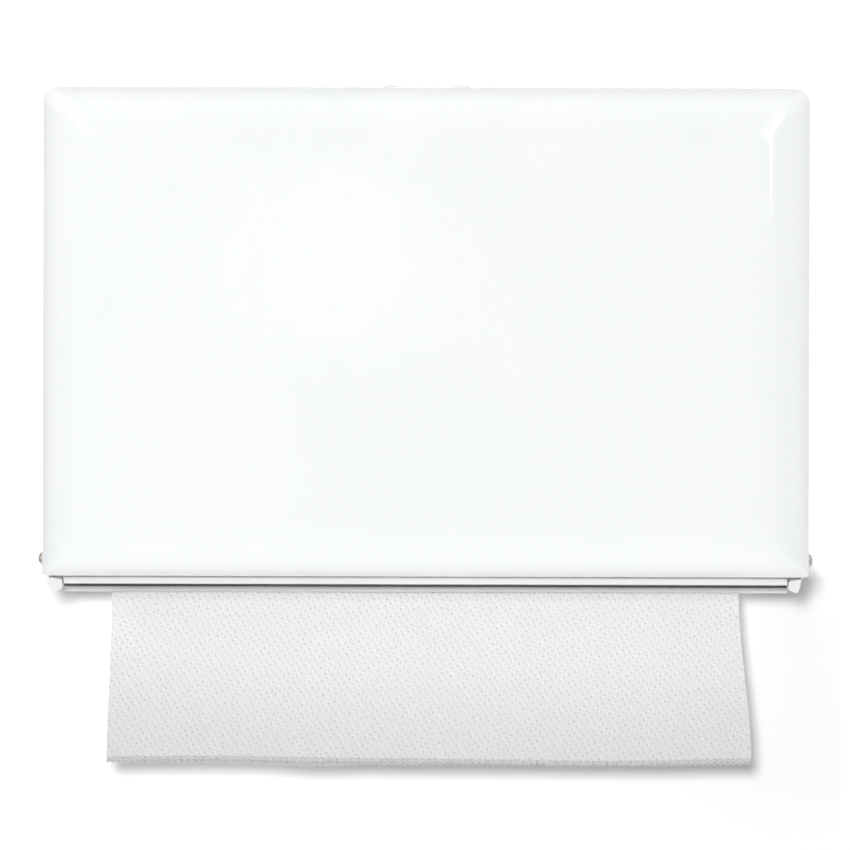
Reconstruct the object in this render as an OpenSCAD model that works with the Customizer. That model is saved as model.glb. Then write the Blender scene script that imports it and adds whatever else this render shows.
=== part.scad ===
// Single-fold paper towel dispenser: a wall cabinet of folded sheet steel with a drop-front cover,
// a cam lock in its top flange and towels that hang through a slot in its bottom.
// The wall is the plane Y = 0, the front faces -Y, and the origin is the centre of the wall screws.

/* [Cover] */
// Distance from the wall to the front face of the cover
case_depth = 152; // [146:1:165]
// Width of the cover just behind its rounded front edges
cover_w = 262.6; // [250:0.1:300]
// Height of the cover just behind its rounded front edges
cover_h = 166.6; // [150:0.1:200]
// Distance from the wall screws' centre down to the bottom of the cover
cover_drop = 82.4; // [76:0.1:95]
// Outward slope of the side and top walls towards the wall, in degrees
flare = 2.6; // [1.5:0.1:3.5]
// Thickness of every steel sheet
sheet = 0.9; // [0.7:0.1:1.2]
// Radius of the rounded front edges
edge_r = 17; // [10:0.5:20]
// Radius of the corners seen from the front
corner_r = 6; // [3:0.5:8]
// Depth of the bottom wall behind the front face
return_len = 27; // [25:0.5:32]
// Distance from the wall to the rear edge of the side walls
side_rear = 6; // [3:0.5:8]
// Distance from the wall to the rear edge of the top wall
top_rear = 24; // [22:0.5:28]
// Depth of the turned-down lip at the rear of the top wall
lip_h = 6; // [4:0.5:8]
// Width of that lip
lip_w = 200; // [120:1:220]

/* [Hinge] */
// Distance from the wall to the hinge axis
hinge_back = 18; // [14:0.5:24]
// Height of the hinge axis over the bottom of the cover
hinge_up = 3.8; // [3:0.1:5]
// Radius of the shank of every rivet
rivet_r = 1.5; // [1.2:0.1:1.8]
// Radius of the head of a hinge rivet
hinge_head_r = 2.5; // [2.2:0.1:3]
// Height of the head of a hinge rivet
hinge_head_h = 1.8; // [1.2:0.1:2.5]
// Radius of a hinge washer
washer_r = 3.2; // [2.8:0.1:3.6]
// Thickness of a hinge washer
washer_t = 0.8; // [0.5:0.1:0.9]

/* [Cabinet] */
// Distance between the left and right wall screws
screw_dx = 180; // [150:1:200]
// Distance between the upper and lower wall screws
screw_dz = 110; // [80:1:120]
// Radius of a wall screw hole
screw_r = 2.75; // [2:0.05:3.5]
// Depth of the top flange in front of the wall
flange_len = 42; // [40:0.5:50]
// Width of the top flange
flange_w = 256.5; // [200:0.5:258]
// Distance from the cover's lower edge down to the feet of the side plates
foot_drop = 5.9; // [5:0.1:8]
// Width of the channel that forms a foot
foot_w = 5; // [4:0.1:7]
// Height of the inner lip of a foot
foot_lip = 4.4; // [3:0.1:5]
// Depth of the side plates' rear flanges
side_flange = 14; // [10:0.5:18]
// Distance from the top of the cover down to the top of the side plates
side_top_drop = 7; // [5:0.5:20]
// Radius of the head of a cabinet rivet
head_r = 2.5; // [2.1:0.1:3]
// Height of the head of a cabinet rivet
head_h = 1; // [0.6:0.1:1.2]
// Height of the upset tail of a cabinet rivet
tail_h = 0.5; // [0.3:0.1:0.6]

/* [Tray and shelf] */
// Height of the tray and the shelf over the bottom of the cover
floor_up = 2.9; // [2:0.1:4]
// Width of the tray's flanges between the feet
tray_w = 246; // [232:1:246]
// Distance from the wall to the tray's rolled lip
lip_back = 70; // [64:0.5:80]
// Distance from the wall to the front edge of the shelf
shelf_len = 38; // [30:0.5:46]
// Width of the shelf
shelf_w = 240; // [230:1:248]
// Height of the tray's hemmed front flange
tray_front_h = 5.9; // [4:0.1:7]
// Height of the hem on that flange
hem_h = 2; // [1:0.1:2.5]
// Height of the tray's rear flange down to the centre of its rolled lip
tray_lip_h = 8.9; // [7:0.1:10]
// Radius of the rolled lips of the tray and the shelf
roll_r = 0.8; // [0.7:0.05:1]
// Height of the shelf's front flange down to the centre of its rolled lip
shelf_lip_h = 4; // [3:0.1:6]
// Height of the shelf's rear flange
shelf_flange_h = 14; // [10:0.5:20]
// Length of the tray's end tabs
tab_len = 34; // [28:0.5:38]
// Height of the tray's end tabs
tab_h = 11; // [9:0.5:14]

/* [Lock] */
// Distance from the wall to the lock's axis
lock_back = 30; // [29:0.5:31]
// Distance between the two lock rivets
lock_rivet_dx = 25.4; // [23:0.1:30]
// Distance from the wall to the lock rivets
lock_rivet_back = 12; // [9:0.5:14]
// Radius of the heads of the lock rivets
lock_rivet_head_r = 2.9; // [2.4:0.1:3.2]
// Height of the heads of the lock rivets
lock_rivet_head_h = 0.7; // [0.5:0.1:1]
// Thickness of the lock bracket
bracket_t = 1.5; // [1:0.1:2]
// Width of the lock bracket under its rivets
bracket_w = 36; // [34:0.5:44]
// Radius of the lock barrel
barrel_r = 4.75; // [4.5:0.05:5]
// Length of the lock barrel under the flange
barrel_len = 9.5; // [8:0.1:11]
// Radius of the lock barrel's rim
rim_r = 6; // [5.6:0.1:6.4]
// Radius of the lock plug
plug_r = 3.45; // [3:0.05:3.6]
// Width across the flats of the lock nut
nut_af = 13; // [12:0.1:13.5]
// Height of the lock nut
nut_h = 2.5; // [2:0.1:3.5]
// Side of the plug's square end
square_w = 4; // [3:0.1:4.2]
// Thickness of the lock cam
cam_t = 1.5; // [1:0.1:2]
// Reach of the lock cam from the lock's axis
cam_reach = 15; // [13:0.5:18]
// Width of the lock cam's tail
cam_w = 6; // [5:0.1:6.4]
// Width of the key slot
key_w = 0.9; // [0.6:0.1:1.2]
// Length of the key slot
key_len = 4.6; // [3.5:0.1:5.2]
// Depth of the key slot
key_depth = 1.6; // [1:0.1:2.5]
// Radius of the head of the cam screw
cam_screw_head_r = 2.8; // [2.4:0.1:3.2]
// Height of the head of the cam screw
cam_screw_head_h = 1.2; // [0.8:0.1:1.5]
// Radius of the shank of the cam screw
cam_screw_r = 1.2; // [1:0.05:1.4]
// Length of the shank of the cam screw
cam_screw_len = 6; // [4:0.1:7]
// Thickness of the strike plate
strike_t = 1.2; // [0.8:0.1:1.4]
// Width of the strike plate
strike_w = 17; // [12:0.5:24]
// Height of the strike plate
strike_h = 14; // [13:0.5:16]

/* [Towels] */
// Width of a towel
towel_w = 224; // [200:1:228]
// Depth of a folded towel
towel_fold = 130; // [124:0.5:132]
// Height of the stack of towels
stack_h = 99; // [40:1:110]
// Thickness of the folded lead towel
towel_t = 0.6; // [0.4:0.1:1]
// Forward lean of the lead towel from upright, in degrees
towel_lean = 22; // [16:0.5:23]
// Length of the lead towel that hangs below the tray's lip
towel_hang = 65; // [40:0.5:66]
// Distance from the wall to the rear of the stack
stack_back = 6; // [5:0.5:10]
// Gap between the front of the stack and the inside of the cover
stack_front_gap = 15.1; // [8:0.1:20]

/* [Clearances] */
// Radial clearance of a shank or plug in its hole
pin_fit = 0.05; // [0.02:0.01:0.1]
// Gap between the cover's side walls and the side plates
side_gap = 1.4; // [1.2:0.1:2]
// Gap between the cover's top wall and the cabinet's top flange
flange_gap = 0.3; // [0.3:0.05:0.6]
// Gap between parts that move past each other
run_gap = 0.4; // [0.3:0.05:0.6]
// Gap between the turning cover and what it swings past
sweep_gap = 3; // [2:0.5:5]
// Gap between the cover's lock notch and the lock
notch_gap = 1; // [0.6:0.1:1.5]

/* [Hidden] */
$fn = 48;

enamel = [0.95, 0.96, 0.97];
zinc = [0.72, 0.73, 0.74];
nickel = [0.82, 0.80, 0.77];
paper = [0.93, 0.92, 0.90];

// Extra length of a cut past the face that it leaves
past = 1;
// How far the corner rounding bites past exact tangency
bite = 0.03;
// Longest reach of a cut across the whole part
across = 2 * cover_w;
// Length of a hole through a few sheets
through = 4 * (sheet + bracket_t);
// Share of a head's radius that is left at its crown
crown = 0.8;

// Cover: arc centres of the front edges, and the planes of its walls
arc_y = edge_r - case_depth;
arc_x = cover_w / 2 - edge_r / cos(flare);
cover_bottom = -cover_drop;
cover_top = cover_h - cover_drop;
top_arc_z = cover_top - edge_r / cos(flare);
bottom_arc_z = cover_bottom + edge_r;
return_y = return_len - case_depth;
function side_x(y, inward) = cover_w / 2 + (y - arc_y) * tan(flare) - inward / cos(flare);
function top_z(y, inward) = cover_top + (y - arc_y) * tan(flare) - inward / cos(flare);

// Hinge axis, and the widest circle about it that the opening top wall leaves free
hinge_y = -hinge_back;
hinge_z = cover_bottom + hinge_up;
sweep_r = (top_z(hinge_y, sheet) - hinge_z) * cos(flare) - sweep_gap;

// Side plates: offsets of their faces from the cover's outer side face
plate_out = sheet + side_gap;
plate_in = plate_out + sheet;
tab_in = plate_in + sheet;
hinge_tail_x = side_x(hinge_y, plate_in) - run_gap / 2;
plate_front_y = return_y + sweep_gap;
plate_top_z = cover_top - side_top_drop;
foot_z = cover_bottom - foot_drop;
foot_rear_y = hinge_y - 2 * washer_r;
floor_z = cover_bottom + floor_up;
side_rivet_z = [-1, 0, 1] * screw_dz / 2;
tab_y = (plate_front_y - lip_back) / 2;
tab_rivet_y = [-1, 1] * tab_len / 4;
tab_rivet_z = floor_z + tab_h / 2;
shelf_rivet_x = [-1, 0, 1] * shelf_w / 3;
shelf_rivet_z = floor_z + shelf_flange_h / 2;

// Lock: half width of the notch that the lock stands in, and heights below the flange
lock_y = -lock_back;
nut_r = nut_af / 2 / cos(30);
notch_half = nut_r + notch_gap;
tongue_half = nut_r;
notch_y = lock_y - nut_r - 2 * notch_gap;
bracket_front_y = -top_rear + 3 * notch_gap;
bracket_rear_y = -2 * sheet - notch_gap;
cam_top = -barrel_len - run_gap;
cam_bottom = cam_top - cam_t;
plug_top = sheet - run_gap / 2;
function flange_under(y) = top_z(y, -flange_gap);
function flange_top(y) = top_z(y, -flange_gap - sheet);

// Towels: the front of the stack, and the lead towel just behind the tray's rolled lip
stack_front_y = sheet + stack_front_gap - case_depth;
lip_z = floor_z - tray_lip_h;
hem_z = floor_z - tray_front_h;
towel_y = -lip_back + sheet / 2 + roll_r / cos(towel_lean) + run_gap;

// Draws a profile of Y and Z along X, centred
module along_x(width) {
    rotate([90, 0, 90]) linear_extrude(width, center = true) children();
}

// Draws a plan of X and Y from one height to another
module upright(low, high) {
    translate([0, 0, low]) linear_extrude(high - low) children();
}

// Draws a rectangle between two corners
module span(low, high) {
    translate(low) square(high - low);
}

// Draws children on the right, or mirrored on the left
module on_side(side) {
    if (side > 0) children();
    else mirror([1, 0, 0]) children();
}

// Moves children to a point on a face of the right-hand side plate, with X along its normal
module at_plate(y, z, inward) {
    translate([side_x(y, inward), y, z]) rotate([0, 0, -flare]) rotate([0, 90, 0]) children();
}

// Moves children to the underside of the top flange, with Z along its normal
module at_flange(x, y) {
    translate([x, y, flange_under(y)]) rotate([flare, 0, 0]) children();
}

// Strip that runs along the right-hand side wall between two offsets from it
module wall_strip(outer, inner, front_y, rear_y) {
    polygon([
        [side_x(front_y, outer), front_y], [side_x(rear_y, outer), rear_y],
        [side_x(rear_y, inner), rear_y], [side_x(front_y, inner), front_y]
    ]);
}

// Plan of the cover, inset by a wall
module cover_plan(inset, rear_y) {
    r = edge_r - inset;
    tangent = [arc_x + r * cos(flare), arc_y - r * sin(flare)];
    rear_x = side_x(rear_y, inset);
    polygon([
        [-arc_x, arc_y - r], [arc_x, arc_y - r], [arc_x, arc_y], tangent, [rear_x, rear_y],
        [-rear_x, rear_y], [-tangent.x, tangent.y], [-arc_x, arc_y]
    ]);
    for (side = [-1, 1]) translate([side * arc_x, arc_y]) circle(r);
}

// Side view of the cover, inset by a wall
module cover_profile(inset, rear_y) {
    r = edge_r - inset;
    polygon([
        [arc_y - r, bottom_arc_z], [arc_y - r, top_arc_z], [arc_y, top_arc_z],
        [arc_y - r * sin(flare), top_arc_z + r * cos(flare)], [rear_y, top_z(rear_y, inset)],
        [rear_y, cover_bottom + inset], [arc_y, cover_bottom + inset], [arc_y, bottom_arc_z]
    ]);
    for (z = [bottom_arc_z, top_arc_z]) translate([arc_y, z]) circle(r);
}

// What a rounded corner takes off a square one, along +Y for a length from the front face
module corner_waste(r, length) {
    translate([0, -edge_r - past, 0]) rotate([-90, 0, 0]) linear_extrude(length + past) difference() {
        translate([0, -2 * corner_r]) square(2 * corner_r);
        circle(r);
    }
}

// Filled form of the cover, inset by a wall
module cover_form(inset, rear_y) {
    r = corner_r - inset + bite;
    axis_x = side_x(arc_y, corner_r);
    difference() {
        intersection() {
            along_x(across) cover_profile(inset, rear_y);
            upright(-cover_h, cover_h) cover_plan(inset, rear_y);
        }
        for (side = [-1, 1]) on_side(side) {
            translate([axis_x, arc_y, top_z(arc_y, corner_r)])
                rotate([atan(tan(flare) * cos(flare)), 0, -flare])
                corner_waste(r, case_depth + edge_r);
            translate([axis_x, arc_y, cover_bottom + corner_r])
                rotate([0, 0, -flare]) rotate([0, 90, 0])
                corner_waste(r, return_len);
        }
    }
}

// Cylinder on the hinge axis through both sides
module hinge_hole() {
    translate([0, hinge_y, hinge_z]) rotate([0, 90, 0])
        cylinder(across, r = rivet_r + pin_fit, center = true);
}

// Rivet along Z: head below zero, shank through a grip, and an upset tail
module rivet(grip, tail) {
    translate([0, 0, -head_h]) cylinder(head_h, head_r * crown, head_r);
    cylinder(grip, r = rivet_r);
    if (tail > 0) translate([0, 0, grip]) cylinder(tail, r = head_r);
}

// Moves children to each rivet of one of the tray's end tabs, on a face of the side plate
module at_tab_rivets(inward) {
    for (y = tab_rivet_y) at_plate(tab_y + y, tab_rivet_z, inward) children();
}

// Moves children to each rivet of the right-hand side plate's rear flange
module at_side_rivets() {
    for (z = side_rivet_z)
        translate([side_x(0, plate_in) - side_flange / 2, -2 * sheet, z]) rotate([-90, 0, 0]) children();
}

// Moves children to each rivet of the shelf's rear flange
module at_shelf_rivets() {
    for (x = shelf_rivet_x) translate([x, -2 * sheet, shelf_rivet_z]) rotate([-90, 0, 0]) children();
}

// Moves children to each lock rivet, on the underside of the top flange
module at_lock_rivets() {
    for (side = [-1, 1]) at_flange(side * lock_rivet_dx / 2, -lock_rivet_back) children();
}

// Hole for a rivet through a stack of sheets
module rivet_hole() {
    cylinder(through, r = rivet_r + pin_fit, center = true);
}

module back_plate() {
    color(enamel) difference() {
        union() {
            along_x(2 * side_x(-sheet, plate_in)) span([-sheet, foot_z], [0, flange_under(0)]);
            along_x(flange_w) polygon([
                [-flange_len, flange_under(-flange_len)], [0, flange_under(0)],
                [0, flange_top(0)], [-flange_len, flange_top(-flange_len)]
            ]);
        }
        for (x = [-1, 1], z = [-1, 1])
            translate([x * screw_dx / 2, 0, z * screw_dz / 2])
                rotate([90, 0, 0]) cylinder(through, r = screw_r, center = true);
        for (side = [-1, 1]) on_side(side) at_side_rivets() rivet_hole();
        at_shelf_rivets() rivet_hole();
        at_lock_rivets() rivet_hole();
        at_flange(0, lock_y) cylinder(through, r = rim_r + pin_fit, center = true);
    }
}

// Right-hand side plate, with its rear flange and its channel-shaped foot
module side_plate() {
    rear_x = side_x(-sheet, plate_in) - side_flange;
    difference() {
        union() {
            intersection() {
                upright(foot_z, plate_top_z) wall_strip(plate_out, plate_in, plate_front_y, -sheet);
                along_x(across) translate([hinge_y, hinge_z]) circle(sweep_r);
            }
            upright(-screw_dz / 2 - side_flange, screw_dz / 2 + side_flange) polygon([
                [rear_x, -2 * sheet], [side_x(-2 * sheet, plate_out), -2 * sheet],
                [side_x(-sheet, plate_out), -sheet], [rear_x, -sheet]
            ]);
            upright(foot_z, foot_z + sheet)
                wall_strip(plate_out, plate_out + foot_w, plate_front_y, foot_rear_y);
            upright(foot_z, foot_z + foot_lip)
                wall_strip(plate_out + foot_w - sheet, plate_out + foot_w, plate_front_y, foot_rear_y);
        }
        at_side_rivets() rivet_hole();
        at_tab_rivets(plate_in) rivet_hole();
        hinge_hole();
    }
}

module left_side_plate() {
    color(enamel) on_side(-1) side_plate();
}

module right_side_plate() {
    color(enamel) on_side(1) side_plate();
}

module front_tray() {
    color(enamel) difference() {
        union() {
            along_x(tray_w) {
                span([plate_front_y, hem_z], [plate_front_y + sheet, floor_z]);
                span([plate_front_y, hem_z], [plate_front_y + 2 * sheet, hem_z + hem_h]);
                span([-lip_back, lip_z], [-lip_back + sheet, floor_z]);
                translate([-lip_back + sheet / 2, lip_z]) circle(roll_r);
            }
            upright(floor_z - sheet, floor_z) polygon([
                for (side = [-1, 1]) [side * side_x(plate_front_y, plate_in), plate_front_y],
                for (side = [1, -1]) [side * side_x(-lip_back, plate_in), -lip_back + sheet]
            ]);
            for (side = [-1, 1]) on_side(side) upright(floor_z - sheet, floor_z + tab_h)
                wall_strip(plate_in, tab_in, tab_y - tab_len / 2, tab_y + tab_len / 2);
        }
        for (side = [-1, 1]) on_side(side) at_tab_rivets(plate_in) rivet_hole();
    }
}

module rear_shelf() {
    color(enamel) difference() {
        along_x(shelf_w) {
            span([-shelf_len, floor_z - sheet], [-sheet, floor_z]);
            span([-2 * sheet, floor_z - sheet], [-sheet, floor_z + shelf_flange_h]);
            span([-shelf_len, floor_z - shelf_lip_h], [-shelf_len + sheet, floor_z]);
            translate([-shelf_len + sheet / 2, floor_z - shelf_lip_h]) circle(roll_r);
        }
        at_shelf_rivets() rivet_hole();
        for (side = [-1, 1]) on_side(side) hinge_tail_room();
    }
}

module side_plate_rivets() {
    color(zinc) for (side = [-1, 1]) on_side(side) at_side_rivets() rivet(2 * sheet, 0);
}

module tray_rivets() {
    color(zinc) for (side = [-1, 1]) on_side(side) at_tab_rivets(tab_in) rivet(2 * sheet, tail_h);
}

module shelf_rivets() {
    color(zinc) at_shelf_rivets() rivet(2 * sheet, 0);
}

// Right-hand hinge rivet: tail inside the side plate, and head outside the cover
module hinge_rivet() {
    outer_x = side_x(hinge_y, 0) + run_gap;
    translate([0, hinge_y, hinge_z]) rotate([0, 90, 0]) {
        translate([0, 0, hinge_tail_x - tail_h]) cylinder(tail_h, r = hinge_head_r);
        translate([0, 0, hinge_tail_x]) cylinder(outer_x - hinge_tail_x, r = rivet_r);
        translate([0, 0, outer_x]) cylinder(hinge_head_h / 2, r = hinge_head_r);
        translate([0, 0, outer_x + hinge_head_h / 2]) cylinder(hinge_head_h / 2, hinge_head_r, rivet_r);
    }
}

// Room in the shelf for the tail of the right-hand hinge rivet
module hinge_tail_room() {
    translate([hinge_tail_x - tail_h - run_gap, hinge_y, hinge_z]) rotate([0, 90, 0])
        cylinder(across, r = hinge_head_r + run_gap);
}

module left_hinge_rivet() {
    color(nickel) on_side(-1) hinge_rivet();
}

module right_hinge_rivet() {
    color(nickel) on_side(1) hinge_rivet();
}

// Right-hand hinge washer, on the outer face of the side plate
module hinge_washer() {
    difference() {
        at_plate(hinge_y, hinge_z, plate_out) cylinder(washer_t, r = washer_r);
        hinge_hole();
    }
}

module left_hinge_washer() {
    color(zinc) on_side(-1) hinge_washer();
}

module right_hinge_washer() {
    color(zinc) on_side(1) hinge_washer();
}

module lock_bracket() {
    color(zinc) difference() {
        at_flange(0, lock_y) translate([0, 0, -bracket_t]) linear_extrude(bracket_t) {
            span([-bracket_w / 2, bracket_front_y - lock_y], [bracket_w / 2, bracket_rear_y - lock_y]);
            span([-tongue_half, -nut_r], [tongue_half, bracket_rear_y - lock_y]);
        }
        at_flange(0, lock_y) cylinder(through, r = barrel_r + pin_fit, center = true);
        at_lock_rivets() rivet_hole();
    }
}

module lock_rivets() {
    color(nickel) at_lock_rivets() {
        translate([0, 0, sheet]) cylinder(lock_rivet_head_h, lock_rivet_head_r, lock_rivet_head_r * crown);
        translate([0, 0, -bracket_t]) cylinder(bracket_t + sheet, r = rivet_r);
        translate([0, 0, -bracket_t - tail_h]) cylinder(tail_h, r = head_r);
    }
}

module lock_barrel() {
    color(nickel) at_flange(0, lock_y) difference() {
        union() {
            cylinder(sheet, r = rim_r);
            translate([0, 0, -barrel_len]) cylinder(barrel_len, r = barrel_r);
        }
        cylinder(across, r = plug_r + pin_fit, center = true);
    }
}

module lock_nut() {
    color(zinc) at_flange(0, lock_y) translate([0, 0, -bracket_t - nut_h]) difference() {
        cylinder(nut_h, r = nut_r, $fn = 6);
        cylinder(across, r = barrel_r + pin_fit, center = true);
    }
}

module towel_stack() {
    low = floor_z + run_gap;
    slit_w = towel_t + 2 * run_gap;
    slit_h = towel_fold - towel_hang + run_gap;
    color(paper) difference() {
        along_x(towel_w) span([stack_front_y, low], [-stack_back, low + stack_h]);
        at_towel() along_x(towel_w + 2 * past) span([-slit_w / 2, 0], [slit_w / 2, slit_h]);
    }
}

module front_cover() {
    rear_y = -side_rear;
    lip_low = top_z(-top_rear, sheet) - lip_h;
    open_half = side_x(-top_rear, corner_r);
    color(enamel) difference() {
        union() {
            difference() {
                cover_form(0, rear_y);
                cover_form(sheet, rear_y + past);
                upright(cover_bottom - past, bottom_arc_z) intersection() {
                    cover_plan(sheet, rear_y + past);
                    span([-across, return_y], [across, past]);
                }
                upright(top_arc_z, cover_h) span([-open_half, -top_rear], [open_half, past]);
            }
            along_x(lip_w) span([-top_rear - sheet, lip_low], [-top_rear, top_z(-top_rear, sheet / 2)]);
        }
        upright(top_arc_z, cover_h) span([-notch_half, notch_y], [notch_half, past]);
        hinge_hole();
    }
}

module strike_plate() {
    front_y = -top_rear - sheet - strike_t;
    color(zinc) translate([notch_half, front_y, top_z(front_y, sheet) - strike_h])
        cube([strike_w, strike_t, strike_h]);
}

module lock_plug() {
    color(nickel) at_flange(0, lock_y) difference() {
        union() {
            translate([0, 0, cam_top]) cylinder(plug_top - cam_top, r = plug_r);
            translate([-square_w / 2, -square_w / 2, cam_bottom]) cube([square_w, square_w, cam_t + past]);
        }
        translate([-key_w / 2, -key_len / 2, plug_top - key_depth]) cube([key_w, key_len, key_depth + past]);
        translate([0, 0, cam_bottom - past]) cylinder(cam_screw_len + past, r = cam_screw_r + pin_fit);
    }
}

module lock_cam() {
    color(zinc) at_flange(0, lock_y) translate([0, 0, cam_bottom]) linear_extrude(cam_t) difference() {
        union() {
            circle(barrel_r);
            span([-cam_w / 2, -cam_reach], [cam_w / 2, 0]);
        }
        square(square_w + 2 * pin_fit, center = true);
    }
}

module cam_screw() {
    color(zinc) at_flange(0, lock_y) translate([0, 0, cam_bottom]) {
        translate([0, 0, -cam_screw_head_h])
            cylinder(cam_screw_head_h, cam_screw_head_r * crown, cam_screw_head_r);
        cylinder(cam_screw_len - past, r = cam_screw_r);
    }
}

// Moves children to where the lead towel's middle plane passes the tray's lip, leaning with it
module at_towel() {
    translate([0, towel_y + towel_t / 2, lip_z]) rotate([-towel_lean, 0, 0]) children();
}

module lead_towel() {
    color(paper) at_towel() translate([-towel_w / 2, -towel_t / 2, -towel_hang])
        cube([towel_w, towel_t, towel_fold]);
}

back_plate();
left_side_plate();
right_side_plate();
front_tray();
rear_shelf();
side_plate_rivets();
tray_rivets();
shelf_rivets();
left_hinge_rivet();
right_hinge_rivet();
left_hinge_washer();
right_hinge_washer();
lock_bracket();
lock_rivets();
lock_barrel();
lock_nut();
towel_stack();
front_cover();
strike_plate();
lock_plug();
lock_cam();
cam_screw();
lead_towel();
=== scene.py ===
"""Looks of the single-fold towel dispenser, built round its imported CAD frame. Lengths are in metres."""

import math

import bmesh
import bpy
import numpy as np
from mathutils import Matrix, Vector


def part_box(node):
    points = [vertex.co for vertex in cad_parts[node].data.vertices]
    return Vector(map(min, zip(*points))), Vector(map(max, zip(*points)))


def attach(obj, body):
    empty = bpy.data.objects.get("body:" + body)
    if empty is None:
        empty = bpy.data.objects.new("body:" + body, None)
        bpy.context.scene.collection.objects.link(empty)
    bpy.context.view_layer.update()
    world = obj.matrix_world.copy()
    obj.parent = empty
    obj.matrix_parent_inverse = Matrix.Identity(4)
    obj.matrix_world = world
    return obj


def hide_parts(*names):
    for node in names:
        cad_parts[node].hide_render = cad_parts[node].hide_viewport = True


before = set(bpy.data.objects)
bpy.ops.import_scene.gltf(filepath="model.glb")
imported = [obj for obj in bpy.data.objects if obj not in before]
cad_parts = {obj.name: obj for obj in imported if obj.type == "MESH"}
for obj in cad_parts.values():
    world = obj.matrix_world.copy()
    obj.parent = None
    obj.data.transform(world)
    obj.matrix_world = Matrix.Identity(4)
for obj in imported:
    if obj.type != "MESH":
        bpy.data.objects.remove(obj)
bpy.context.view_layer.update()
MM = 0.001

# Sheet steel and soft edges
SHEET = 0.9 * MM
EDGE_SOFTNESS = 0.22 * MM
EDGE_SEGMENTS = 2
EDGE_ANGLE = math.radians(40)
WELD_REACH = 0.001 * MM
MERGE_REACH = 0.005 * MM

# Cover
FLARE = math.radians(2.6)
EDGE_R = 17 * MM
CORNER_R = 5.2 * MM
LOWER_CORNER_R = 1.8 * MM
INNER_CORNER_R = 3.2 * MM
RETURN_LEN = 27 * MM
RETURN_RELIEF = 2.5 * MM
TOP_REAR = 24 * MM
LIP_HALF = 100 * MM
LIP_DROP = 6.9 * MM
LIP_BEND_R = 1.3 * MM
NOTCH_HALF = 8.5 * MM
NOTCH_FRONT = 39.5 * MM
FACE_MARGIN = 9 * MM
TOP_MARK = 0.055
SIDE_MARK = 0.045
MIDDLE_CUT = -0.08
SLACK = 0.1 * MM
EDGE_STEPS = 18
CORNER_STEPS = 10
LIP_BEND_STEPS = 5

# Hinge
HINGE_Y = -18 * MM
HINGE_HOLE_R = 1.55 * MM
HINGE_CELL = 3 * MM
HOLE_QUARTER_STEPS = 6

# Rivets
RIVET_R = 1.5 * MM
HINGE_HEAD_H = 1.8 * MM
TAIL_H = 0.5 * MM
TAIL_R = 2.5 * MM
TURN_STEPS = 36
DOME_STEPS = 8
LOCK_HEAD_R = 2.9 * MM
LOCK_HEAD_H = 0.7 * MM
LOCK_GRIP = 2.4 * MM

# Side plates and tray
PLATE_OUT = 2.3 * MM
PLATE_TOP = 77.2 * MM
PLATE_FLANGE = 14 * MM
PLATE_FLANGE_TOP = 69 * MM
SWEEP_R = 164 * MM
FOOT_REAR = 24.4 * MM
FOOT_START = 7.4 * MM
FOOT_SLANT = 1.9 * MM
FOOT_W = 4.5 * MM
FOOT_RISE = 1.1 * MM
FOOT_LIP = 4.2 * MM
FOOT_CLOSED = 4.9 * MM
FOOT_OUT = 0.8 * MM
FOOT_RAKE = 0.9
TRAY_GAP = 0.5 * MM
BEND_R = 1.3 * MM
FOLD_R = 0.48 * MM
TIGHT_FOLD_R = 0.98 * FOLD_R
BEND_STEPS = 6
HEM_UP = 3.8 * MM
HEM_H = 2 * MM
LIP_BACK = 70 * MM
LIP_NOSE = 2 * MM
TAB_LEN = 34 * MM
TAB_H = 11 * MM

# Lead towel
TOWEL_LEAN = math.radians(22)
TOWEL_W = 224 * MM
TOWEL_FOLD = 130 * MM
TOWEL_HANG = 65 * MM
LEAF_GAP = 0.22 * MM
LEAF_STEP = 0.4 * MM
EMBOSSED_TO = 50 * MM
DOT_PITCH = 2.12 * MM
DOT_TURN = math.radians(31)
DOT_STRAY = 0.32
DOT_LEAST = 0.45
DOT_R = 0.74 * MM
DOT_H = 0.34 * MM
PIT_AT = (-0.64 * MM, -0.5 * MM)
PIT_R = 0.6 * MM
PIT_H = 0.2 * MM
NET_CELLS = 128
DOT_CHANCE = np.random.default_rng(11).random((NET_CELLS, NET_CELLS, 3))
# Painted shade on the towel, as shares of its tone: off the dots, in the pits, a shadow line above the free
# edge, and under the slot
VALLEY_SHADE = 0.1
PIT_SHADE = 0.34
EDGE_SHADOW_GREY = 0.25
EDGE_SHADOW_UP = 0.8 * MM
EDGE_SHADOW_W = 0.4 * MM
SLOT_SHADE_GREY = 0.06
PINK_PITCH = 2.2 * MM
PINK_DEPTH = 0.8 * MM
FREE_EDGE = 4 * MM
TONGUE_X = -42 * MM
TONGUE_W = 12 * MM
# The mesh colour named here carries the towel's painted shade
EMBOSSING_SHADE = "embossing"

# Stack of towels
STACK_LAYERS = 104
LAYER_FILL = 0.96
LAYER_STRAY = 1.4 * MM
SLIT_HALF = 1.0 * MM
SLIT_TOP = 65.4 * MM

# Camera and stage
CAMERA_AT = (-0.0003, -2.652, -0.0305)
CAMERA_LENS = 311.3
CAMERA_ROLL = math.radians(-0.16)
WALL_Y = 1 * MM
STAGE_Z = -0.42
STAGE_REACH = 4.0
COVE_R = 0.2
COVE_STEPS = 12
SHADOW_TOP = -0.074
SHADOW_LOW = -0.19
SHADOW_HALF = 0.15
FADE_LOW = 20 * MM
FADE_TOP = 12 * MM
FADE_SIDE = 15 * MM
GLOW = 0.85
SHADOW_GLOW = 0.04
LIT_MIDDLE = Vector((0, -0.1, -0.03))


# Materials

def new_material(name):
    """An empty node material with its Principled shader."""
    material = bpy.data.materials.new(name)
    material.use_nodes = True
    return material, material.node_tree.nodes, material.node_tree.links


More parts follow.
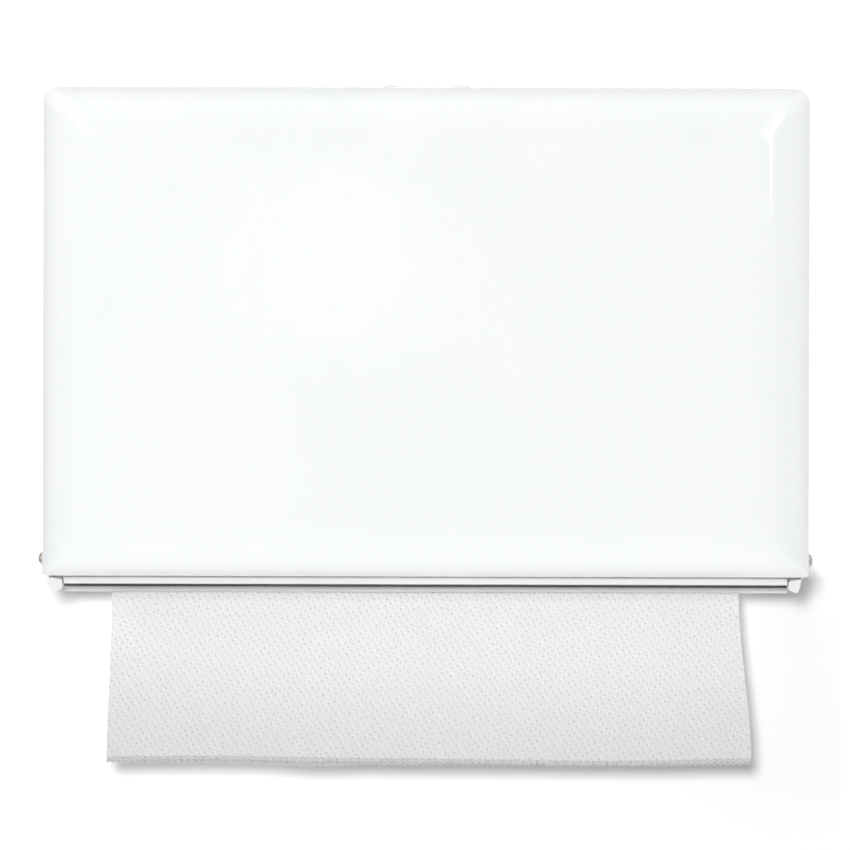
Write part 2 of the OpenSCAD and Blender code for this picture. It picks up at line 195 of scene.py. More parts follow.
def noise(nodes, links, scale, detail=2.0, roughness=0.5):
    """A noise texture on object coordinates; scale counts waves in a metre."""
    coords = nodes.get("Object place") or nodes.new("ShaderNodeTexCoord")
    coords.name = "Object place"
    texture = nodes.new("ShaderNodeTexNoise")
    texture.inputs["Scale"].default_value = scale
    texture.inputs["Detail"].default_value = detail
    texture.inputs["Roughness"].default_value = roughness
    links.new(coords.outputs["Object"], texture.inputs["Vector"])
    return texture.outputs["Fac"]


def ramp(nodes, links, value, stops):
    """A colour ramp over a value, from (place, colour) stops."""
    node = nodes.new("ShaderNodeValToRGB")
    elements = node.color_ramp.elements
    while len(elements) < len(stops):
        elements.new(0.5)
    for element, (place, colour) in zip(elements, stops):
        element.position = place
        element.color = (*colour, 1)
    links.new(value, node.inputs["Fac"])
    return node.outputs["Color"]


def bump(nodes, links, height, distance, strength=1.0, under=None):
    """A bump of a real height in metres, over another bump if one is given."""
    node = nodes.new("ShaderNodeBump")
    node.inputs["Strength"].default_value = strength
    node.inputs["Distance"].default_value = distance
    links.new(height, node.inputs["Height"])
    if under:
        links.new(under, node.inputs["Normal"])
    return node.outputs["Normal"]


def specks(nodes, links, colour, speck, cells, size):
    """Scatters rare small specks over a colour: cells in a metre, size as a share of a cell."""
    cell = nodes.new("ShaderNodeTexVoronoi")
    cell.inputs["Scale"].default_value = cells
    links.new(nodes["Object place"].outputs["Object"], cell.inputs["Vector"])
    mask = ramp(nodes, links, cell.outputs["Distance"], [(size * 0.6, (1, 1, 1)), (size, (0, 0, 0))])
    mix = nodes.new("ShaderNodeMix")
    mix.data_type = "RGBA"
    mix.inputs["B"].default_value = (*speck, 1)
    links.new(mask, mix.inputs["Factor"])
    links.new(colour, mix.inputs["A"])
    return mix.outputs["Result"]


def enamel(name, light, dark):
    """Glossy white stoved enamel: a slightly uneven tone and gloss, faint orange peel and slow waves."""
    material, nodes, links = new_material(name)
    shader = nodes["Principled BSDF"]
    tone = ramp(nodes, links, noise(nodes, links, 14, 3), [(0.35, dark), (0.65, light)])
    links.new(tone, shader.inputs["Base Color"])
    gloss = ramp(nodes, links, noise(nodes, links, 60, 4), [(0.3, (0.04,) * 3), (0.7, (0.08,) * 3)])
    links.new(gloss, shader.inputs["Roughness"])
    shader.inputs["IOR"].default_value = 1.5
    wave = bump(nodes, links, noise(nodes, links, 30, 1), 0.03 * MM)
    peel = bump(nodes, links, noise(nodes, links, 620, 2), 0.004 * MM, under=wave)
    links.new(peel, shader.inputs["Normal"])
    return material


def plated(name, light, dark, rough, grain):
    """Plated metal with a fine grain, and dull patches."""
    material, nodes, links = new_material(name)
    shader = nodes["Principled BSDF"]
    shader.inputs["Metallic"].default_value = 1
    tone = ramp(nodes, links, noise(nodes, links, 420, 5, 0.65), [(0.3, dark), (0.7, light)])
    links.new(tone, shader.inputs["Base Color"])
    low, high = rough
    gloss = ramp(nodes, links, noise(nodes, links, 900, 4), [(0.3, (low,) * 3), (0.7, (high,) * 3)])
    links.new(gloss, shader.inputs["Roughness"])
    links.new(bump(nodes, links, noise(nodes, links, grain, 3), 0.006 * MM), shader.inputs["Normal"])
    return material


def shade_downwards(nodes, links, tone, colour, start, end):
    """Multiplies a tone by a colour, more and more from a height down to another: a painted shade that
    darkens downwards.
    """
    place = nodes.new("ShaderNodeSeparateXYZ")
    links.new(nodes["Object place"].outputs["Object"], place.inputs[0])
    share = nodes.new("ShaderNodeMapRange")
    share.inputs["From Min"].default_value = start
    share.inputs["From Max"].default_value = end
    links.new(place.outputs["Z"], share.inputs["Value"])
    mix = nodes.new("ShaderNodeMix")
    mix.data_type = "RGBA"
    mix.blend_type = "MULTIPLY"
    mix.inputs["B"].default_value = (*colour, 1)
    links.new(share.outputs["Result"], mix.inputs["Factor"])
    links.new(tone, mix.inputs["A"])
    return mix.outputs["Result"]


def toned(nodes, links, tone, attribute):
    """Multiplies a tone by a colour attribute of the mesh."""
    # The attribute holds painted shade
    painted_shade_node = nodes.new("ShaderNodeAttribute")
    painted_shade_node.attribute_name = attribute
    mix = nodes.new("ShaderNodeMix")
    mix.data_type = "RGBA"
    mix.blend_type = "MULTIPLY"
    mix.inputs["Factor"].default_value = 1
    links.new(tone, mix.inputs["A"])
    links.new(painted_shade_node.outputs["Color"], mix.inputs["B"])
    return mix.outputs["Result"]


def paper(name, light, dark, speck, waves, painted_shade=None):
    """Soft towel paper: cloudy formation, fibres and flecks; given a painted shade, it darkens towards its
    free edge and takes the painted shade of its embossing from the mesh.
    """
    material, nodes, links = new_material(name)
    shader = nodes["Principled BSDF"]
    tone = ramp(nodes, links, noise(nodes, links, waves, 6, 0.7), [(0.3, dark), (0.7, light)])
    tone = specks(nodes, links, tone, speck, 62, 0.02)
    if painted_shade:
        # Painted shade: darker towards the free edge, then the embossing's painted shade from the mesh colour
        tone = shade_downwards(nodes, links, tone, *painted_shade)
        tone = toned(nodes, links, tone, EMBOSSING_SHADE)
    links.new(tone, shader.inputs["Base Color"])
    shader.inputs["Roughness"].default_value = 0.92
    shader.inputs["Specular IOR Level"].default_value = 0.2
    fibres = bump(nodes, links, noise(nodes, links, 1900, 4, 0.7), 0.05 * MM, 0.5)
    links.new(fibres, shader.inputs["Normal"])
    return material


# Mesh helpers

def make_object(name, mesh, material, smooth=True):
    """A new object of a finished bmesh."""
    data = bpy.data.meshes.new(name)
    mesh.to_mesh(data)
    mesh.free()
    data.polygons.foreach_set("use_smooth", [smooth] * len(data.polygons))
    data.materials.append(material)
    piece = bpy.data.objects.new(name, data)
    bpy.context.scene.collection.objects.link(piece)
    return piece


def soften_edges(piece, width=EDGE_SOFTNESS):
    """Rounds sharp edges over by a small bevel."""
    bevel = piece.modifiers.new("Soft edges", "BEVEL")
    bevel.width = width
    bevel.segments = EDGE_SEGMENTS
    bevel.limit_method = "ANGLE"
    bevel.angle_limit = EDGE_ANGLE
    bevel.harden_normals = True


def dress(node, material):
    """Gives a CAD node its finish and soft edges."""
    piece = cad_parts[node]
    piece.data.materials.clear()
    piece.data.materials.append(material)
    weld = piece.modifiers.new("Weld", "WELD")
    weld.merge_threshold = WELD_REACH
    soften_edges(piece)
    smooth = piece.modifiers.new("Weighted normals", "WEIGHTED_NORMAL")
    smooth.keep_sharp = True


# Cover: sections of the outer skin, by depth

cover_low, cover_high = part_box("front_cover")
FRONT_Y = cover_low.y
REAR_Y = cover_high.y
BOTTOM_Z = cover_low.z
ARC_Y = FRONT_Y + EDGE_R
HALF_AT_ARC = cover_high.x - (REAR_Y - ARC_Y) * math.tan(FLARE)
TOP_AT_ARC = cover_high.z - (-TOP_REAR - ARC_Y) * math.tan(FLARE)


def flared(at_arc, y):
    """Reach of a flared wall from the middle at a depth, with its rounded front edge."""
    tangent_y = ARC_Y - EDGE_R * math.sin(FLARE)
    if y > tangent_y:
        return at_arc + (y - ARC_Y) * math.tan(FLARE)
    return at_arc - EDGE_R / math.cos(FLARE) + math.sqrt(max(0, EDGE_R**2 - (y - ARC_Y) ** 2))


def upright(at_arc, y):
    """Reach of an unflared wall at a depth, with its rounded front edge."""
    if y > ARC_Y:
        return at_arc
    return at_arc - EDGE_R + math.sqrt(max(0, EDGE_R**2 - (y - ARC_Y) ** 2))


def section(y):
    """Half width, top, bottom and upper and lower corner radius of the cover at a depth."""
    half = flared(HALF_AT_ARC, y)
    retreat = min(1, max(0, HALF_AT_ARC - half) / EDGE_R)
    upper, lower = (r + (INNER_CORNER_R - r) * retreat for r in (CORNER_R, LOWER_CORNER_R))
    return half, flared(TOP_AT_ARC, y), -upright(-BOTTOM_Z, y), upper, lower


def levels(y, marks, low_name, high_name):
    """Places of the marks along a straight stretch, kept in proportion where the front edge draws in."""
    def ends(depth):
        half, top, bottom, upper, lower = section(depth)
        reach = {"left": upper - half, "right": half - upper, "top": top - upper, "bottom": bottom + lower,
                 "low left": lower - half, "low right": half - lower}
        return reach[low_name], reach[high_name]

    low, high = ends(y)
    if y >= ARC_Y:
        return [low, *marks, high]
    arc_low, arc_high = ends(ARC_Y)
    return [low, *(low + (m - arc_low) / (arc_high - arc_low) * (high - low) for m in marks), high]


TOP_MARKS = [-LIP_HALF, -TOP_MARK, -NOTCH_HALF, NOTCH_HALF, TOP_MARK, LIP_HALF]
SIDE_MARKS = [-SIDE_MARK, 0, SIDE_MARK]


def corner(centre_x, centre_z, radius, start):
    """Points of a quarter turn, without its ends."""
    turns = [start + math.pi / 2 * k / CORNER_STEPS for k in range(1, CORNER_STEPS)]
    return [(centre_x + radius * math.cos(a), centre_z + radius * math.sin(a)) for a in turns]


def ring(y):
    """The cover's section as named columns of points: bottom, right, top and left with corners between."""
    half, top, bottom, upper, lower = section(y)
    across = levels(y, TOP_MARKS, "left", "right")
    up = levels(y, SIDE_MARKS, "bottom", "top")
    columns = [("bottom", x, bottom) for x in levels(y, TOP_MARKS, "low left", "low right")]
    columns += [("bottom", *p) for p in corner(half - lower, bottom + lower, lower, -math.pi / 2)]
    columns += [("side", half, z) for z in up]
    columns += [("corner", *p) for p in corner(half - upper, top - upper, upper, 0)]
    columns += [("top", x, top) for x in reversed(across)]
    columns += [("corner", *p) for p in corner(upper - half, top - upper, upper, math.pi / 2)]
    columns += [("side", -half, z) for z in reversed(up)]
    columns += [("bottom", *p) for p in corner(lower - half, bottom + lower, lower, math.pi)]
    return columns


def is_open(kinds, xs, y):
    """Whether the skin is cut away between two columns behind a depth."""
    if "bottom" in kinds and y > FRONT_Y + RETURN_LEN:
        return True
    if kinds == {"top"} and y > -TOP_REAR:
        return True
    in_notch = max(abs(x) for x in xs) < NOTCH_HALF + SLACK
    return kinds == {"top"} and in_notch and y > -NOTCH_FRONT


def cover_depths():
    """Depths of the sections, close together round the front edge."""
    turns = [math.pi / 2 * (1 - k / EDGE_STEPS) for k in range(EDGE_STEPS)]
    front = [ARC_Y - EDGE_R * math.sin(t) for t in turns]
    cuts = [FRONT_Y + RETURN_LEN, MIDDLE_CUT, -NOTCH_FRONT, -TOP_REAR - LIP_BEND_R, -TOP_REAR,
            HINGE_Y - HINGE_CELL, HINGE_Y + HINGE_CELL, REAR_Y]
    return front + [ARC_Y] + cuts


def add_face_grid(mesh, outline, columns):
    """Fills the flat front inside the first section with a margin and a grid of quads."""
    half, top, bottom = section(FRONT_Y)[:3]
    xs = sorted({round(x, 6) for kind, x, z in columns if kind == "top"})
    zs = sorted({round(z, 6) for kind, x, z in columns if kind == "side"})
    xs[0], xs[-1] = -half + FACE_MARGIN, half - FACE_MARGIN
    zs[0], zs[-1] = bottom + FACE_MARGIN, top - FACE_MARGIN
    grid = [[mesh.verts.new((x, FRONT_Y, z)) for z in zs] for x in xs]
    for i in range(len(xs) - 1):
        for k in range(len(zs) - 1):
            mesh.faces.new((grid[i][k], grid[i + 1][k], grid[i + 1][k + 1], grid[i][k + 1]))
    loop = [grid[i][0] for i in range(len(xs))]
    loop += [grid[-1][0]] * (CORNER_STEPS - 1) + grid[-1]
    loop += [grid[-1][-1]] * (CORNER_STEPS - 1) + [grid[i][-1] for i in reversed(range(len(xs)))]
    loop += [grid[0][-1]] * (CORNER_STEPS - 1) + list(reversed(grid[0]))
    loop += [grid[0][0]] * (CORNER_STEPS - 1)
    for k, outer in enumerate(outline):
        after = (k + 1) % len(outline)
        corners = [outer, outline[after], loop[after], loop[k]]
        mesh.faces.new(corners[:3] if loop[after] is loop[k] else corners)


def add_hem(mesh, rows, depths, column, side):
    """Carries a side wall straight down to its lower edge behind the return, with its hinge hole."""
    first = depths.index(FRONT_Y + RETURN_LEN)
    hem = {}
    for j in range(first, len(depths)):
        top = rows[j][column].co
        relief = RETURN_RELIEF if j == first else 0
        x = side * flared(HALF_AT_ARC, top.y + relief)
        hem[j] = mesh.verts.new((x, top.y + relief, BOTTOM_Z))
    hinge_row = depths.index(HINGE_Y - HINGE_CELL)
    for j in range(first, len(depths) - 1):
        corners = [rows[j][column], rows[j + 1][column], hem[j + 1], hem[j]]
        if j == hinge_row:
            add_holed_face(mesh, corners, side)
        else:
            mesh.faces.new(corners)


def add_holed_face(mesh, corners, side):
    """A four-cornered face of a side wall with the hinge's round hole in it."""
    steps = HOLE_QUARTER_STEPS
    hinge_low, hinge_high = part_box("left_hinge_rivet")
    centre_z = (hinge_low.z + hinge_high.z) / 2
    start = math.radians(135)
    hole = []
    for k in range(4 * steps):
        turn = start - math.pi / 2 * k / steps
        y = HINGE_Y + HINGE_HOLE_R * math.cos(turn)
        z = centre_z + HINGE_HOLE_R * math.sin(turn)
        hole.append(mesh.verts.new((side * flared(HALF_AT_ARC, y), y, z)))
    for k in range(4):
        arc = [hole[(k * steps + n) % len(hole)] for n in range(steps + 1)]
        mesh.faces.new([corners[k], corners[(k + 1) % 4], *reversed(arc)])


def add_lip(mesh, row, columns):
    """Turns the rear of the top wall down into a lip on both sides of the lock's notch."""
    top = section(-TOP_REAR)[1]
    bend = [math.pi / 2 * k / LIP_BEND_STEPS for k in range(1, LIP_BEND_STEPS + 1)]
    route = [(-TOP_REAR - LIP_BEND_R + LIP_BEND_R * math.sin(a), top - LIP_BEND_R * (1 - math.cos(a)))
             for a in bend]
    route.append((-TOP_REAR, top - LIP_DROP))
    tops = [k for k, (kind, x, z) in enumerate(columns) if kind == "top" and abs(x) < LIP_HALF + SLACK]
    strips = {k: [row[k]] + [mesh.verts.new((columns[k][1], y, z)) for y, z in route] for k in tops}
    for a, b in zip(tops, tops[1:]):
        if max(abs(columns[a][1]), abs(columns[b][1])) < NOTCH_HALF + SLACK:
            continue
        for j in range(len(route)):
            mesh.faces.new((strips[a][j], strips[b][j], strips[b][j + 1], strips[a][j + 1]))


def make_cover(material):
    """The drawn shell of the front cover, with its return, lip, notch and hinge holes."""
    mesh = bmesh.new()
    depths = cover_depths()
    rings = [ring(y) for y in depths]
    rows = [[mesh.verts.new((x, y, z)) for kind, x, z in columns] for y, columns in zip(depths, rings)]
    count = len(rings[0])
    lip_row = depths.index(-TOP_REAR - LIP_BEND_R)
    for j in range(len(depths) - 1):
        middle = (depths[j] + depths[j + 1]) / 2
        for k in range(count):
            after = (k + 1) % count
            pair = (rings[j][k], rings[j][after])
            kinds = {kind for kind, x, z in pair}
            xs = [x for kind, x, z in pair]
            in_lip = j == lip_row and kinds == {"top"} and max(abs(x) for x in xs) < LIP_HALF + SLACK
            if not in_lip and not is_open(kinds, xs, middle):
                mesh.faces.new((rows[j][k], rows[j][after], rows[j + 1][after], rows[j + 1][k]))
    add_face_grid(mesh, rows[0], rings[0])
    add_lip(mesh, rows[lip_row], rings[lip_row])
    sides = [k for k, (kind, x, z) in enumerate(rings[0]) if kind == "side"]
    add_hem(mesh, rows, depths, sides[0], 1)
    add_hem(mesh, rows, depths, sides[-1], -1)
    bmesh.ops.delete(mesh, geom=[v for v in mesh.verts if not v.link_faces], context="VERTS")
    bmesh.ops.recalc_face_normals(mesh, faces=mesh.faces)
    front = max(mesh.faces, key=lambda f: f.calc_area())
    if front.normal.y > 0:
        bmesh.ops.reverse_faces(mesh, faces=mesh.faces)
    piece = make_object("cover_shell", mesh, material)
    wall = piece.modifiers.new("Sheet", "SOLIDIFY")
    wall.thickness = SHEET
    wall.offset = -1
    soften_edges(piece)
    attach(piece, "cover")
    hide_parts("front_cover")


# Lead towel

towel_low, towel_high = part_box("lead_towel")
TOWEL_AT = (np.array(towel_low) + np.array(towel_high)) / 2
TOWEL_UP = np.array((0, math.sin(TOWEL_LEAN), math.cos(TOWEL_LEAN)))
TOWEL_BACK = np.array((0, math.cos(TOWEL_LEAN), -math.sin(TOWEL_LEAN)))


def ease(value):
    """A smooth step from 0 to 1."""
    value = np.clip(value, 0, 1)
    return value * value * (3 - 2 * value)


def dots(x, z, radius=DOT_R):
    """Share of a dot's height, in a turned square net of dots that stray and differ in strength."""
    along = (x * math.cos(DOT_TURN) + z * math.sin(DOT_TURN)) / DOT_PITCH
    across = (z * math.cos(DOT_TURN) - x * math.sin(DOT_TURN)) / DOT_PITCH
    share = np.zeros_like(x)
    for i in (-1, 0, 1):
        for k in (-1, 0, 1):
            column = np.round(along).astype(int) + i
            row = np.round(across).astype(int) + k
            chances = DOT_CHANCE[column % NET_CELLS, row % NET_CELLS]
            stray_u, stray_v, strength = np.moveaxis(chances, -1, 0)
            u = along - column - DOT_STRAY * (stray_u - 0.5)
            v = across - row - DOT_STRAY * (stray_v - 0.5)
            away = np.hypot(u, v) * DOT_PITCH / radius
            mound = 0.5 + 0.5 * np.cos(math.pi * np.clip(away, 0, 1))
            share = np.maximum(share, (DOT_LEAST + (1 - DOT_LEAST) * strength) * mound)
    return share


def pits(x, z):
    """Share of a pit's depth: one pit to the lower left of each dot."""
    return dots(x - PIT_AT[0], z - PIT_AT[1], PIT_R)


def pinking(x):
    """How far the pinked edge is cut back at a place along it."""
    return PINK_DEPTH * np.abs(2 * ((x / PINK_PITCH) % 1) - 1)


def towel_painted_shade(x, z):
    """Painted shade on the paper: greyer off the dots and in the pit beside each dot, a painted shadow line
    just above the free edge, and a warm painted shade just under the slot.
    """
    # Painted shade in the valleys off the dots, and darker still in the pits
    between = VALLEY_SHADE * (1 - np.minimum(1, 1.6 * dots(x, z))) + PIT_SHADE * pits(x, z)
    # Painted shadow line just above the free edge
    edge_shadow = EDGE_SHADOW_GREY * np.exp(-(((z + TOWEL_HANG - EDGE_SHADOW_UP) / EDGE_SHADOW_W) ** 2))
    # Warm painted shade just under the slot
    slot_shade = ease((z + 5 * MM) / (2 * MM)) * ease((2 * MM - z) / (6 * MM))
    grey = 1 - between - edge_shadow - SLOT_SHADE_GREY * slot_shade
    return np.stack([grey, grey - 0.003 * slot_shade, grey - 0.018 * slot_shade, np.ones_like(x)], 1)


def towel_rows(leaf):
    """Heights along one leaf, from its free edge to the fold: close together where it shows."""
    step = LEAF_STEP if leaf < 0 else 2 * LEAF_STEP
    shown = np.arange(-TOWEL_HANG, EMBOSSED_TO, step)
    return np.concatenate([shown, np.linspace(EMBOSSED_TO + MM, TOWEL_FOLD - TOWEL_HANG - MM, 10)])


def leaf_points(leaf, x, z):
    """Places of one leaf's points: in front of the fold's middle plane or behind it."""
    hang = ease(-z / TOWEL_HANG)
    edge = ease((z + TOWEL_HANG) / FREE_EDGE)
    # The free edges are pinked out of step, and the back one hangs lower, lowest in a tongue
    down = (1 - edge) * pinking(x + (0.9 * MM if leaf > 0 else 0))
    tongue = (0.5 + 0.8 * np.exp(-(((x - TONGUE_X) / TONGUE_W) ** 2))) * MM
    longer = tongue if leaf > 0 else 0.35 * MM * np.sin(x * 31)
    place_z = z + down - (1 - edge) * longer
    # The hanging part spreads a little, drifts to the right, bows in slow waves and puckers under the slot
    place_x = x * (0.982 + 0.02 * hang) + 1.4 * MM * hang
    bow = hang * (1.1 * MM * np.sin(x * 26 + 0.6) + 0.5 * MM * np.sin(x * 61 + z * 40))
    bow = bow - 1.2 * MM * hang**2
    pucker = 0.35 * MM * np.sin(x * 140 + 2 * np.sin(x * 33)) * ease(-z / 0.01) * (1 - hang)
    back = leaf * LEAF_GAP * (1 + 2 * hang) + bow + pucker - DOT_H * dots(x, z) + PIT_H * pits(x, z)
    spread = place_x[:, None] * np.array((1, 0, 0))
    return TOWEL_AT + spread + place_z[:, None] * TOWEL_UP + back[:, None] * TOWEL_BACK


def make_towel(material):
    """The folded lead towel as one sheet: front leaf, fold at the top, and back leaf."""
    columns = np.linspace(-TOWEL_W / 2, TOWEL_W / 2, int(TOWEL_W / LEAF_STEP) + 1)
    rows, tones = [], []
    for leaf in (-1, 1):
        heights = towel_rows(leaf) if leaf < 0 else reversed(towel_rows(leaf))
        for z in heights:
            rows.append(leaf_points(leaf, columns, np.full_like(columns, z)))
            tones.append(towel_painted_shade(columns, np.full_like(columns, z)))
    points = np.concatenate(rows)
    wide, high = len(columns), len(rows)
    corner_ids = (np.arange(high - 1)[:, None] * wide + np.arange(wide - 1)).ravel()
    quads = np.stack([corner_ids, corner_ids + 1, corner_ids + wide + 1, corner_ids + wide], 1)
    data = bpy.data.meshes.new("lead_towel_sheet")
    data.from_pydata(points.tolist(), [], quads.tolist())
    # The mesh colour carries the painted shade of the embossing, the free edge and the slot
    shade = data.color_attributes.new(EMBOSSING_SHADE, "FLOAT_COLOR", "POINT")
    shade.data.foreach_set("color", np.concatenate(tones).ravel())
    data.polygons.foreach_set("use_smooth", [True] * len(data.polygons))
    data.materials.append(material)
    piece = bpy.data.objects.new("lead_towel_sheet", data)
    bpy.context.scene.collection.objects.link(piece)
    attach(piece, "towel")
    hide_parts("lead_towel")


# Stack of towels

def add_slab(mesh, y0, y1, z0, z1, half, shift, fold):
    """One folded towel, or a part of one: a flat slab with a rounded fold at its front."""
    middle, rise = (z0 + z1) / 2, (z1 - z0) / 2
    nose = rise * 1.6 if fold else 0.1 * rise
    turns = [math.pi * k / 6 for k in range(7)]
    profile = [(y0 + nose - nose * math.sin(t), middle + rise * math.cos(t)) for t in turns]
    parting = rise * 0.2
    profile += [(y1, z0), (y1, middle - parting), (y1 - 0.5 * MM, middle), (y1, middle + parting), (y1, z1)]
    ends = [[mesh.verts.new((side * half + shift, y, z)) for y, z in profile] for side in (-1, 1)]
    count = len(profile)
    for k in range(count):
        after = (k + 1) % count
        mesh.faces.new((ends[0][k], ends[0][after], ends[1][after], ends[1][k]))
    mesh.faces.new(ends[0])
    mesh.faces.new(reversed(ends[1]))


def make_stack(material):
    """The stack as folded towels that lie on each other, parted where the lead towel passes through."""
    low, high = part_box("towel_stack")
    chance = np.random.default_rng(7)
    pitch = (high.z - low.z) / STACK_LAYERS
    mesh = bmesh.new()
    for layer in range(STACK_LAYERS):
        z0 = low.z + layer * pitch
        z1 = z0 + pitch * LAYER_FILL
        y0 = low.y + chance.uniform(0, LAYER_STRAY)
        y1 = high.y - chance.uniform(0, LAYER_STRAY)
        half = high.x - chance.uniform(0.2, 1.2) * MM
        shift = chance.uniform(-0.2, 0.2) * MM
        along = ((z0 + z1) / 2 - TOWEL_AT[2]) / math.cos(TOWEL_LEAN)
        if along > SLIT_TOP:
            add_slab(mesh, y0, y1, z0, z1, half, shift, True)
            continue
        slit = TOWEL_AT[1] + along * math.sin(TOWEL_LEAN)
        gap = SLIT_HALF / math.cos(TOWEL_LEAN)
        add_slab(mesh, y0, slit - gap, z0, z1, half, shift, True)
        add_slab(mesh, slit + gap, y1, z0, z1, half, shift, False)
    bmesh.ops.recalc_face_normals(mesh, faces=mesh.faces)
    piece = make_object("folded_towels", mesh, material, smooth=False)
    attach(piece, "cabinet")
    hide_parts("towel_stack")


# Rivets

def add_turned(mesh, profile, place):
    """A solid turned about an axis from a profile of heights and radii, which starts and ends on the axis."""
    rings = []
    for height, radius in profile:
        turns = [2 * math.pi * k / TURN_STEPS for k in range(TURN_STEPS)] if radius else [0]
        rings.append([mesh.verts.new(place @ Vector((radius * math.cos(t), radius * math.sin(t), height)))
                      for t in turns])
    for a, b in zip(rings, rings[1:]):
        for k in range(TURN_STEPS):
            after = (k + 1) % TURN_STEPS
            corners = [a[k % len(a)], a[after % len(a)], b[after % len(b)], b[k % len(b)]]
            mesh.faces.new(list(dict.fromkeys(corners)))


def dome(base, height, radius, rim, inner):
    """Profile of a domed head, from its rim to its crown; a smaller inner radius sets the dome off."""
    turns = [math.pi / 2 * k / DOME_STEPS for k in range(DOME_STEPS)]
    round_part = [(base + rim + (height - rim) * math.sin(t), inner * math.cos(t)) for t in turns]
    edge = [(base, radius * 0.97)] if inner == radius else [(base, radius), (base + rim, radius)]
    return [*edge, *round_part, (base + height, 0)]


def make_rivet_piece(name, mesh, material, node):
    """Finishes turned rivets that stand for a node of the cabinet."""
    bmesh.ops.recalc_face_normals(mesh, faces=mesh.faces)
    piece = make_object(name, mesh, material)
    soften_edges(piece, 0.1 * MM)
    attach(piece, "cabinet")
    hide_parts(node)


def make_hinge_rivet(side, material):
    """A hinge rivet with a domed head outside the cover and a flat tail inside the side plate."""
    node = "right_hinge_rivet" if side > 0 else "left_hinge_rivet"
    low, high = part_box(node)
    centre = (low + high) / 2
    length, radius = high.x - low.x, (high.z - low.z) / 2
    head = length - HINGE_HEAD_H
    profile = [(0, 0), (0, radius * 0.85), (TAIL_H * 0.4, radius), (TAIL_H, radius), (TAIL_H, RIVET_R)]
    profile += [(head, RIVET_R), *dome(head, HINGE_HEAD_H, radius, 0.6 * MM, radius * 0.8)]
    inner = low.x if side > 0 else high.x
    place = Matrix.Translation((inner, centre.y, centre.z)) @ Matrix.Rotation(side * math.pi / 2, 4, "Y")
    mesh = bmesh.new()
    add_turned(mesh, profile, place)
    make_rivet_piece(node + "_turned", mesh, material, node)


def make_lock_rivets(material):
    """The two lock rivets, with low domes that are painted with the flange."""
    low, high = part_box("lock_rivets")
    radius = LOCK_HEAD_R
    head = LOCK_GRIP + TAIL_H
    y = (low.y + high.y + head * math.sin(FLARE)) / 2
    z = low.z + TAIL_R * math.sin(FLARE)
    profile = [(0, 0), (0, TAIL_R), (TAIL_H, TAIL_R), (TAIL_H, RIVET_R), (head, RIVET_R)]
    profile += dome(head, LOCK_HEAD_H, radius, 0.1 * MM, radius)
    mesh = bmesh.new()
    for x in (low.x + radius, high.x - radius):
        place = Matrix.Translation((x, y, z)) @ Matrix.Rotation(FLARE, 4, "X")
        add_turned(mesh, profile, place)
    make_rivet_piece("lock_rivets_turned", mesh, material, "lock_rivets")


# Bent sheet pieces

def routed(points, radii):
    """A route through flat points, with each inner corner rounded to its radius."""
    route = [Vector(points[0])]
    for before, at, after, radius in zip(points, points[1:], points[2:], radii):
        at = Vector(at)
        back = (Vector(before) - at).normalized()
        ahead = (Vector(after) - at).normalized()
        half = back.angle(ahead) / 2
        centre = at + (back + ahead).normalized() * radius / math.sin(half)
        arm = at + back * radius / math.tan(half) - centre
        turn = (math.pi - 2 * half) * (-1 if back.x * ahead.y - back.y * ahead.x > 0 else 1)
        route += [centre + Matrix.Rotation(turn * k / BEND_STEPS, 2) @ arm for k in range(BEND_STEPS + 1)]
    return route + [Vector(points[-1])]


def add_grid(mesh, rows):
    """Faces over rows of points."""
    verts = [[mesh.verts.new(point) for point in row] for row in rows]
    for a, b in zip(verts, verts[1:]):
        for k in range(len(a) - 1):
            mesh.faces.new((a[k], a[k + 1], b[k + 1], b[k]))


def make_sheet_piece(name, mesh, material, node, inside=None):
    """Thickens a middle surface into a painted sheet for a node; its inside may take a dark coat that paints
    shade.
    """
    bmesh.ops.remove_doubles(mesh, verts=mesh.verts, dist=MERGE_REACH)
    bmesh.ops.recalc_face_normals(mesh, faces=mesh.faces)
    front = min(mesh.faces, key=lambda f: f.calc_center_median().y)
    if front.normal.y > 0:
        bmesh.ops.reverse_faces(mesh, faces=mesh.faces)
    piece = make_object(name, mesh, material)
    wall = piece.modifiers.new("Sheet", "SOLIDIFY")
    if inside:
        piece.data.materials.append(inside)
        piece.data.materials.append(material)
        wall.material_offset = 1
    wall.thickness = SHEET
    wall.offset = 0
    wall.use_even_offset = True
    soften_edges(piece)
    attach(piece, "cabinet")
    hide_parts(node)


def plate_x(y):
    """Middle of the right-hand side plate at a depth."""
    return HALF_AT_ARC + (y - ARC_Y) * math.tan(FLARE) - PLATE_OUT - SHEET / 2


def web_heights(y, pivot_z):
    """Heights down a side plate's web, whose front corner is cut round for the turning cover."""
    top = min(PLATE_TOP, pivot_z + math.sqrt(SWEEP_R**2 - (y - HINGE_Y) ** 2))
    flange_share = 2 * PLATE_FLANGE_TOP / (PLATE_TOP + PLATE_FLANGE_TOP)
    return [-PLATE_FLANGE_TOP + share * (top + PLATE_FLANGE_TOP) for share in (1, flange_share, 0.5, 0)]


